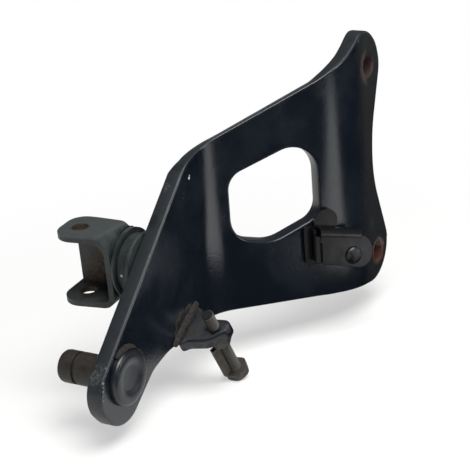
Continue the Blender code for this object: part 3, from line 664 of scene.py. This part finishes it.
def sheet(outline, holes, levels, lean=0.0):
    """A flat sheet in the xz plane with shaped rims.

    levels lists (depth, inset) from front to back.  lean insets the back of the outline
    stretches that face upwards, running out towards the tip.
    """
    bm = bmesh.new()
    caps = ([], [])
    for loop, sign in [(outline, 1)] + [(hole, -1) for hole in holes]:
        rings = []
        for depth, inset in levels:
            ring = []
            for point, out in loop:
                upward = min(max((out.y - 0.74) / 0.22, 0.0), 1.0) if sign == 1 else 0.0
                upward *= min(max((182.0 - point.x) / 40.0, 0.0), 1.0)
                place = point - out * (inset * sign + lean * upward * depth / SHEET)
                ring.append(bm.verts.new((place.x, depth, place.y)))
            rings.append(ring)
        for one, two in zip(rings, rings[1:]):
            skin(bm, one, two)
        for edges, ring in zip(caps, (rings[0], rings[-1])):
            edges += [bm.edges.get((ring[k - 1], ring[k])) for k in range(len(ring))]
    for edges in caps:
        bmesh.ops.triangle_fill(bm, use_beauty=True, edges=edges)
    bmesh.ops.recalc_face_normals(bm, faces=bm.faces)
    return bm


def rim(thickness, front, back):
    """Levels of a sheared edge: rolled at the front, a small round behind, flat margins."""
    levels = [(0.0, front + 0.4)]
    for k in range(6):
        turn = math.radians(18 * k)
        levels.append((front * (1 - math.cos(turn)), front * (1 - math.sin(turn))))
    for k in range(4):
        turn = math.radians(30 * k)
        levels.append((thickness - back * (1 - math.sin(turn)), back * (1 - math.cos(turn))))
    return levels + [(thickness, back + 0.4)]


def fold_sheet(bm, steps):
    """Bend the flat blank twice, drawn as many facets, to the plate's section."""
    inner, outer = INNER_FOLD[1], OUTER_FOLD[1]
    second = PANEL + inner * FOLD
    web = JOGGLE / math.sin(FOLD) - (inner + outer) * math.tan(FOLD / 2)
    third = second + web
    fourth = third + outer * FOLD
    lines = [PANEL + (second - PANEL) * k / steps for k in range(steps + 1)]
    lines += [third + (fourth - third) * k / steps for k in range(steps + 1)]
    for line in lines:
        bmesh.ops.bisect_plane(bm, geom=bm.verts[:] + bm.edges[:] + bm.faces[:], dist=1e-5,
                               plane_co=(line, 0, 0), plane_no=(1, 0, 0))
    for vert in bm.verts:
        s, depth, z = vert.co
        first = min(max((s - PANEL) / inner, 0.0), FOLD)
        left = min(max((fourth - s) / outer, 0.0), FOLD)
        turn = left if s > third else first
        run = min(max(s - second, 0.0), web)
        x = min(s, PANEL) + inner * math.sin(first) + run * math.cos(FOLD)
        x += outer * (math.sin(FOLD) - math.sin(left)) + max(s - fourth, 0.0)
        y = JOGGLE - inner * (1 - math.cos(first)) - run * math.sin(FOLD)
        y -= outer * (math.cos(left) - math.cos(FOLD))
        vert.co = (x + depth * math.sin(turn), y + depth * math.cos(turn), z)


def turned(profile, count=96):
    """A body of revolution about y from (radius, y) pairs that start and end on the axis."""
    bm = bmesh.new()
    rings = []
    for radius, y in profile[1:-1]:
        ring = []
        for k in range(count):
            turn = 2 * math.pi * k / count
            ring.append(bm.verts.new((radius * math.cos(turn), y, radius * math.sin(turn))))
        rings.append(ring)
    for one, two in zip(rings, rings[1:]):
        skin(bm, one, two)
    for ring, end in ((rings[0], profile[0]), (rings[-1], profile[-1])):
        tip = bm.verts.new((0.0, end[1], 0.0))
        for k in range(count):
            bm.faces.new((ring[k - 1], ring[k], tip))
    bmesh.ops.recalc_face_normals(bm, faces=bm.faces)
    return bm


def arc(centre, radius, start, end, steps):
    points = []
    for k in range(steps + 1):
        turn = math.radians(start + (end - start) * k / steps)
        points.append((centre[0] + radius * math.cos(turn), centre[1] + radius * math.sin(turn)))
    return points


def loft(sides):
    """A body through closed rings of equal count, given as lists of points."""
    bm = bmesh.new()
    rings = [[bm.verts.new(point) for point in side] for side in sides]
    for one, two in zip(rings, rings[1:]):
        skin(bm, one, two)
    bm.faces.new(rings[0])
    bm.faces.new(rings[-1])
    bmesh.ops.recalc_face_normals(bm, faces=bm.faces)
    return bm


def from_pivot():
    """From millimetres about the pedal pivot to the row frame."""
    return Matrix.Scale(MM, 4) @ Matrix.Translation((PIVOT[0], 0, PIVOT[1]))


def place_mesh(name, bm, material=None):
    """An object of a finished body, at the world's origin."""
    mesh = bpy.data.meshes.new(name)
    bm.to_mesh(mesh)
    bm.free()
    if material:
        mesh.materials.append(material)
    piece = bpy.data.objects.new(name, mesh)
    bpy.context.scene.collection.objects.link(piece)
    return piece


def build(name, bm, place, material=None, smooth=30.0):
    """An object from a body drawn in millimetres."""
    bm.transform(from_pivot() @ place)
    piece = place_mesh(name, bm, material)
    if material:
        piece.data.shade_smooth()
        piece.data.set_sharp_from_angle(angle=math.radians(smooth))
    return piece


def shape(piece, steps, place, smooth=30.0):
    """Cut, keep or add bodies with Boolean modifiers and settle the mesh."""
    helpers = []
    for operation, bm in steps:
        helper = build("helper", bm, place)
        helpers.append(helper)
        modifier = piece.modifiers.new("shape", "BOOLEAN")
        modifier.operation = operation
        modifier.object = helper
        modifier.solver = "EXACT"
    graph = bpy.context.evaluated_depsgraph_get()
    mesh = bpy.data.meshes.new_from_object(piece.evaluated_get(graph))
    piece.modifiers.clear()
    piece.data = mesh
    mesh.shade_smooth()
    mesh.set_sharp_from_angle(angle=math.radians(smooth))
    for helper in helpers:
        bpy.data.objects.remove(helper, do_unlink=True)


def stand_in(piece, node):
    """Let a piece ride with the part in a CAD node's place."""
    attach(piece, BODY)
    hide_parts(node)


def softened(piece, width):
    """Break the sheared edges of a small piece."""
    modifier = piece.modifiers.new("broken_edges", "BEVEL")
    modifier.width = width * MM
    modifier.segments = 2
    modifier.limit_method = "ANGLE"
    modifier.angle_limit = math.radians(50)


def clevis_place():
    return (Matrix.Translation(CLEVIS) @ Matrix.Rotation(CLEVIS_SWING, 4, "Z")
            @ Matrix.Rotation(CLEVIS_LEAN, 4, "X") @ Matrix.Rotation(CLEVIS_ROLL, 4, "Y"))


def channel(x, bend, reach):
    """Side view of the folded channel at x: top lug, web and lower lug."""
    half, low = CLEVIS_HEIGHT / 2, LOW_BEND
    points = [(reach, half)] + arc((bend, half - bend), bend, 90, 180, 14)
    points += arc((low, low - half), low, 180, 270, 8)
    points += [(reach, -half), (reach, CLEVIS_SHEET - half)]
    points += arc((low, low - half), low - CLEVIS_SHEET, 270, 180, 8)
    points += arc((bend, half - bend), bend - CLEVIS_SHEET, 180, 90, 14)
    points.append((reach, half - CLEVIS_SHEET))
    return [(x, y, z) for y, z in points]


def lug_plan(sizes):
    """Body that leaves the plan shape of both lugs."""
    sides = []
    for z, corner in ((-36, sizes.lower_corner), (-0.5, sizes.lower_corner),
                      (0.5, sizes.upper_corner), (36, sizes.upper_corner)):
        reach, eye = sizes.lug_reach / MM, PEG_PIN[1] - 2.0
        plan = rounded([
            (WEB_SIDES[0], -8.0, 1.0), (WEB_SIDES[1], -8.0, 1.0), (EYE_SIDES[1], eye, 20.0),
            (EYE_SIDES[1], reach, corner / MM), (EYE_SIDES[0], reach, sizes.near_corner / MM),
            (EYE_SIDES[0], eye, 20.0),
        ])
        sides.append([(point.x, point.y, z) for point, out in plan])
    return loft(sides)


def stop_wall(reach):
    """The wall folded outboard from the web's far edge, between the lugs."""
    side, bend = WEB_SIDES[1], LOW_BEND
    x = side - bend
    wall = [(x - 3.0, 0.05)] + arc((x, bend), bend, -85, 0, 8)
    wall += [(side, reach), (side - CLEVIS_SHEET, reach)]
    wall += arc((x, bend), bend - CLEVIS_SHEET, 0, -85, 8) + [(x - 3.0, CLEVIS_SHEET - 0.05)]
    half = CLEVIS_HEIGHT / 2
    return loft([[(a, b, z) for a, b in wall]
                 for z in (0.4 - half + CLEVIS_SHEET - 0.8, half - CLEVIS_SHEET + 0.6)])


def top_bead(radius, leg):
    """Weld between the clevis's web and its round seat, thin at both ends."""
    sides = []
    for k in range(29):
        part = k / 28
        angle = math.radians(18 + 94 * part)
        grow = leg * (0.45 + 0.55 * math.sin(math.pi * part) ** 0.5)
        grow *= 1 + 0.05 * math.cos(2 * math.pi * part * 7)
        ring = []
        for out, up in ((0, 0), (1, 0), (0.92, 0.4), (0.7, 0.72), (0.4, 0.92), (0, 1)):
            far = radius + grow * out
            ring.append((far * math.cos(angle) + SPOOL[0] - CLEVIS[0], 0.02 + grow * up,
                         far * math.sin(angle) + SPOOL[1] - CLEVIS[2]))
        sides.append(ring)
    return loft(sides)


def stop_screw_matrix():
    """From screw coordinates, z up its axis in metres, to the row frame."""
    along, outboard, tilt = STOP_AXIS
    return (Matrix.Translation((PIVOT[0] * MM, 0, PIVOT[1] * MM))
            @ Matrix.Rotation(-math.radians(tilt), 4, "Y")
            @ Matrix.Translation((along * MM, outboard * MM, 0)))


def skin(bm, low, high):
    """Faces between two rings of equal count."""
    count = len(low)
    for k in range(count):
        nxt = (k + 1) % count
        bm.faces.new((low[k], low[nxt], high[nxt], high[k]))


def threaded_screw(thread, low, high):
    """Hexagon screw with a cut helical thread, its head below."""
    bm = bmesh.new()
    sides = 40
    per_pitch = 10
    steps = int((high - low) / thread.pitch * per_pitch)
    rings = []
    for step in range(steps + 1):
        z = low + (high - low) * step / steps
        fade = min((z - low) / (2.0 * thread.pitch), 1.0)
        chamfer = max(0.0, z - (high - thread.depth)) * 0.9
        ring = []
        for k in range(sides):
            angle = 2 * math.pi * k / sides
            phase = (z / thread.pitch - k / sides) % 1.0
            ridge = min(1.0, max(0.0, 1.5 - 3.4 * abs(phase - 0.5)))
            radius = thread.radius - thread.depth * fade * (1.0 - ridge)
            radius = min(radius, thread.radius - chamfer)
            ring.append(bm.verts.new((radius * math.cos(angle), radius * math.sin(angle), z)))
        rings.append(ring)
    for one, two in zip(rings, rings[1:]):
        skin(bm, one, two)
    bm.faces.new(rings[-1])
    bm.faces.new(list(reversed(rings[0])))
    corner = thread.flats / math.sqrt(3)
    flat = thread.flats / 2
    levels = ((0.0, 0.93), (0.08, 1.0), (0.82, 1.0), (1.0, 0.9))
    head = []
    for share, reach in levels:
        ring = []
        for k in range(72):
            angle = math.radians(5 * k)
            turn = (angle - HEAD_TURN) % math.radians(60) - math.radians(30)
            radius = min(flat / math.cos(turn), corner * 0.975, corner * reach)
            ring.append(bm.verts.new((radius * math.cos(angle), radius * math.sin(angle),
                                      low - share * thread.head)))
        head.append(ring)
    for one, two in zip(head, head[1:]):
        skin(bm, one, two)
    bm.faces.new(head[0])
    bm.faces.new(head[-1])
    bmesh.ops.recalc_face_normals(bm, faces=bm.faces)
    return bm


class HANGER_OT_plate(bpy.types.Operator):
    """Press the plate with smooth bends and give it its worn stoved enamel"""
    bl_idname = "hanger.plate"
    bl_label = "Finish plate"

    def execute(self, context):
        holes = [rounded(WINDOW), circle(0, 0, PIN_RADIUS + GAP)]
        holes += [circle(x, z, BOLT_RADIUS) for x, z in BOLTS]
        bm = sheet(rounded(BLANK), holes, rim(SHEET, FRONT_ROLL, BACK_ROLL), TOP_TAPER)
        fold_sheet(bm, context.scene.hanger_shape.bend_steps)
        enamel = stoved_enamel_on_pressed_steel(context.scene.hanger_finishes)
        plate = build("enamelled_plate", bm, Matrix(), enamel)
        stand_in(plate, "hanger_plate")
        return {"FINISHED"}


class HANGER_OT_pivot(bpy.types.Operator):
    """Turn the pedal pivot pin and give the weld beads thin enamel"""
    bl_idname = "hanger.pivot"
    bl_label = "Finish pedal pivot"

    def execute(self, context):
        finish = context.scene.hanger_finishes
        tip = JOGGLE + context.scene.hanger_shape.pin_reach / MM
        face = JOGGLE - GAP
        top = face - 3.2
        profile = [
            (0, top + 0.9), (5.6, top + 0.9), (6.4, top + 0.8), (8.0, top + 0.2), (8.6, top),
            (11.7, top), (12.5, top + 0.15), (13.1, top + 0.6), (13.5, top + 1.3),
            (13.6, top + 1.9), (13.6, face), (8.0, face), (8.0, 69.9), (7.1, 69.9), (7.1, 71.5),
            (8.0, 71.5), (8.0, tip - 2.6), (7.8, tip - 1.6), (7.2, tip - 0.8), (6.3, tip - 0.3),
            (5.0, tip), (0, tip),
        ]
        pin = build("turned_pivot_pin", turned(profile), Matrix(), tarnished_turned_steel(finish))
        stand_in(pin, "pedal_pivot_pin")
        bead = thin_enamel_on_weld_bead(finish)
        for name in ("pivot_head_weld_top", "pivot_head_weld_side", "pivot_outer_weld",
                     "stop_tab_weld"):
            wear(name, bead)
        return {"FINISHED"}


class HANGER_OT_clevis(bpy.types.Operator):
    """Fold the footrest clevis, turn its flange and give them and the spool faded enamel"""
    bl_idname = "hanger.clevis"
    bl_label = "Finish clevis"

    def execute(self, context):
        enamel = faded_enamel_on_folded_sheet(context.scene.hanger_finishes)
        wear("clevis_boss", enamel)
        sizes = context.scene.hanger_shape
        place = clevis_place()
        seat = Matrix.Translation((SPOOL[0] - CLEVIS[0], -GAP, SPOOL[1] - CLEVIS[2]))
        flange = build("rolled_flange", turned(FLANGE), place @ seat, enamel)
        foot = sheet(rounded(((5, 5, 1), (70, 5, 1), (70, 70, 1), (5, 70, 1))), [],
                     ((41.0, 0), (61.0 + GAP, 0)))
        shape(flange, [("DIFFERENCE", foot)], Matrix())
        stand_in(flange, "clevis_flange")
        reach = sizes.lug_reach / MM + 2.0
        body = loft([channel(EYE_SIDES[0] - 2.0, NEAR_BEND, reach),
                     channel(EYE_SIDES[1] + 2.0, FAR_BEND, reach)])
        clevis = build("folded_clevis", body, place, enamel)
        hole = loft([[(point.x, point.y, z) for point, out in circle(*PEG_PIN, PEG_RADIUS, 48)]
                     for z in (-30, 30)])
        shape(clevis, [("INTERSECT", lug_plan(sizes)), ("UNION", stop_wall(sizes.wall_reach / MM)),
                       ("UNION", top_bead(12.8, 4.9)), ("DIFFERENCE", hole)], place)
        softened(clevis, 0.4)
        stand_in(clevis, "peg_clevis")
        return {"FINISHED"}


class HANGER_OT_stop(bpy.types.Operator):
    """Shape the stop tab and strap, and cut the thread of the stop screw"""
    bl_idname = "hanger.stop"
    bl_label = "Finish pedal stop"

    def execute(self, context):
        finish = context.scene.hanger_finishes
        zinc = dulled_zinc_plate(finish)
        sizes = context.scene.hanger_shape
        upright = Matrix(((1, 0, 0, 0), (0, 0, 1, 0), (0, 1, 0, 0), (0, 0, 0, 1)))
        tilted = Matrix.Rotation(-math.radians(STOP_AXIS[2]), 4, "Y")
        root = tilted @ Matrix.Translation((0, JOGGLE, 0)) @ upright
        axis_place = tilted @ Matrix.Translation((STOP_AXIS[0], STOP_AXIS[1], 0)) @ upright
        tab = build("filed_stop_tab", sheet(rounded(TAB), [], TAB_LEVELS), root,
                    enamel_on_stop_tab(finish))
        bore = sheet(circle(0, 0, SCREW_RADIUS + GAP), [], ((-40, 0), (-10, 0)))
        shape(tab, [("DIFFERENCE", bore)], axis_place)
        notch = sheet(circle(*TAB_NOTCH[:3]), [], ((TAB_NOTCH[3], 0), (-10, 0)))
        shape(tab, [("DIFFERENCE", notch)], root)
        stand_in(tab, "stop_tab")
        half, far = sizes.strap / MM / 2, STRAP_SIDE + sizes.strap_width / MM
        strap = sheet(rounded(((-half, STRAP_SIDE, 0.3), (half, STRAP_SIDE, 0.3),
                               (half, far, 0.6), (-half, far, 0.6))), [],
                      [(end, 0) for end in STRAP_ENDS])
        turn = Matrix.Rotation(STRAP_TURN, 4, "Y")
        stand_in(build("stop_screw_strap", strap, axis_place @ turn, zinc), "stop_strap")
        wear("stop_nut", zinc)
        low, high = (end * MM for end in SCREW_ENDS)
        bm = threaded_screw(context.scene.hanger_thread, low, high)
        bm.transform(stop_screw_matrix())
        crest = context.scene.hanger_thread.radius / MM
        screw = place_mesh("threaded_stop_screw", bm,
                           dulled_zinc_plate(finish, "dulled_zinc_plated_thread", crest))
        screw.data.set_sharp_from_angle(angle=math.radians(28))
        stand_in(screw, "stop_screw")
        return {"FINISHED"}


class HANGER_OT_clip(bpy.types.Operator):
    """Give the spring clip its dip coat and the rivet thin enamel"""
    bl_idname = "hanger.clip"
    bl_label = "Finish clip"

    def execute(self, context):
        finish = context.scene.hanger_finishes
        wear("clip_bracket", dip_coated_spring_sheet(finish))
        wear("clip_rivet", enamel_on_stop_tab(finish, "thin_enamel_on_rivet"))
        return {"FINISHED"}


def studio_paper(stage):
    """Matt studio paper: an even pale floor that keeps the shadow and runs out to white."""
    material, tree, mm = new_material("matt_studio_paper")
    flat = add(tree, "VectorMath", {"operation": "MULTIPLY", 1: (1.0, 1.0, 0.0)}, {0: mm})
    far = add(tree, "VectorMath", {"operation": "DISTANCE", 1: (-80.0, 30.0, 0.0)}, {0: flat})
    out = add(tree, "MapRange", {"interpolation_type": "SMOOTHSTEP", "From Min": 110.0,
                                 "From Max": 330.0, "To Min": 0.5}, {"Value": far.outputs["Value"]})
    path = add(tree, "LightPath")
    seen = any_of(tree, *(path.outputs[f"Is {kind} Ray"]
                          for kind in ("Camera", "Glossy", "Transmission")))
    share = both(tree, out, seen)
    paper = add(tree, "BsdfDiffuse", {"Color": (*stage.floor, 1.0)})
    white = add(tree, "Emission", {"Color": (1.0, 1.0, 1.0, 1.0), "Strength": 1.0})
    mixed = add(tree, "MixShader", None, {0: share, 1: paper, 2: white})
    close_material(tree, mixed)
    return material


def area_lamp(scene, name, place, size, power):
    lamp = bpy.data.lights.new(name, "AREA")
    lamp.shape = "RECTANGLE"
    lamp.size, lamp.size_y = size
    lamp.energy = power
    holder = bpy.data.objects.new(name, lamp)
    holder.matrix_world = place
    scene.collection.objects.link(holder)
    return holder


def softbox(scene, name, azimuth, elevation, distance, size, power):
    """A square-on softbox aimed at the middle of the hanger."""
    aim = Vector((-0.08, 0.03, 0.0))
    turn, lift = math.radians(azimuth), math.radians(elevation)
    way = Vector((math.sin(turn) * math.cos(lift), -math.cos(turn) * math.cos(lift),
                  math.sin(lift)))
    area_lamp(scene, name, Matrix.Translation(aim + way * distance)
              @ way.to_track_quat("Z", "Y").to_matrix().to_4x4(), size, power)


def black_cloth(low):
    """Black cloth laid in front of the plate as a flag: only reflections see it, so the white
    paper doesn't grey the enamel."""
    material, tree = new_material("black_felt_cloth")[:2]
    close_material(tree, add(tree, "BsdfDiffuse", {"Color": (0.004, 0.004, 0.004, 1.0)}))
    bm = bmesh.new()
    rim = []
    for k in range(25):
        turn = math.radians(-62 + 7.5 * k)
        rim.append(bm.verts.new((-0.08 + 1.5 * math.sin(turn), 0.02 - 1.5 * math.cos(turn), low)))
    bm.faces.new([bm.verts.new((-0.08, 0.02, low))] + rim)
    cloth = place_mesh("black_cloth", bm, material)
    cloth.visible_camera = False
    cloth.visible_diffuse = False
    cloth.visible_shadow = False
    cloth.visible_transmission = False


def low_strip(scene, low, power):
    """A lamp lying on the floor in front of the bends, which draws light lines down them."""
    place = (Matrix.Translation((0.03, -0.27, low)) @ Matrix.Rotation(math.radians(17), 4, "Z")
             @ Matrix.Rotation(math.pi, 4, "X"))
    area_lamp(scene, "low_strip", place, (0.09, 0.40), power).visible_camera = False


class HANGER_OT_stage(bpy.types.Operator):
    """Set up the pale floor, the soft lamps and the camera"""
    bl_idname = "hanger.stage"
    bl_label = "Set up studio"

    def execute(self, context):
        scene = context.scene
        stage = scene.hanger_stage
        low = CAD_BOX[0].z - 0.0005
        bm = bmesh.new()
        bmesh.ops.create_grid(bm, x_segments=1, y_segments=1, size=6.0)
        floor = place_mesh("studio_floor", bm, studio_paper(stage))
        floor.location = (0.0, 0.0, low)
        softbox(scene, "overhead_softbox", -30.0, 66.0, 1.3, (0.9, 0.9), stage.overhead)
        softbox(scene, "front_softbox", 17.0, 8.0, 1.5, (0.3, 0.5), stage.front)
        black_cloth(low + 0.0004)
        low_strip(scene, low + 0.002, stage.low)
        world = bpy.data.worlds.new("plain_room")
        world.use_nodes = True
        world.node_tree.nodes.clear()
        light = add(world.node_tree, "Background", {"Color": (1.0, 1.0, 1.0, 1.0),
                                                    "Strength": stage.room})
        add(world.node_tree, "OutputWorld", None, {"Surface": light})
        scene.world = world
        lens = bpy.data.cameras.new("photo_camera")
        lens.sensor_width = 36.0
        lens.lens = stage.focal
        lens.clip_start = 0.01
        camera = bpy.data.objects.new("photo_camera", lens)
        right = Vector((0.4879, -0.8699, -0.0719))
        up = Vector((0.3511, 0.1201, 0.9286))
        back = right.cross(up).normalized()
        turned = Matrix((right, back.cross(right), back)).transposed()
        camera.matrix_world = Matrix.Translation((-0.6803, -0.3220, 0.2586)) @ turned.to_4x4()
        scene.collection.objects.link(camera)
        scene.camera = camera
        scene.view_settings.view_transform = "Standard"
        return {"FINISHED"}


class HANGER_PT_panel(bpy.types.Panel):
    bl_label = "Footrest Hanger"
    bl_idname = "HANGER_PT_panel"
    bl_space_type = "VIEW_3D"
    bl_region_type = "UI"
    bl_category = "Hanger"

    def draw(self, context):
        for operator in OPERATORS:
            self.layout.operator(operator.bl_idname)
        for group in (context.scene.hanger_finishes, context.scene.hanger_shape,
                      context.scene.hanger_thread, context.scene.hanger_stage):
            for name in group.__annotations__:
                self.layout.prop(group, name)


OPERATORS = (HANGER_OT_plate, HANGER_OT_pivot, HANGER_OT_clevis, HANGER_OT_stop, HANGER_OT_clip,
             HANGER_OT_stage)
CLASSES = (HangerFinishes, HangerShape, HangerThread, HangerStage, *OPERATORS, HANGER_PT_panel)


def register():
    for item in CLASSES:
        bpy.utils.register_class(item)
    bpy.types.Scene.hanger_finishes = PointerProperty(type=HangerFinishes)
    bpy.types.Scene.hanger_shape = PointerProperty(type=HangerShape)
    bpy.types.Scene.hanger_thread = PointerProperty(type=HangerThread)
    bpy.types.Scene.hanger_stage = PointerProperty(type=HangerStage)


def unregister():
    del bpy.types.Scene.hanger_finishes
    del bpy.types.Scene.hanger_shape
    del bpy.types.Scene.hanger_thread
    del bpy.types.Scene.hanger_stage
    for item in reversed(CLASSES):
        bpy.utils.unregister_class(item)


def main():
    register()
    bpy.ops.hanger.plate()
    bpy.ops.hanger.pivot()
    bpy.ops.hanger.clevis()
    bpy.ops.hanger.stop()
    bpy.ops.hanger.clip()
    bpy.ops.hanger.stage()


if __name__ == "__main__":
    main()
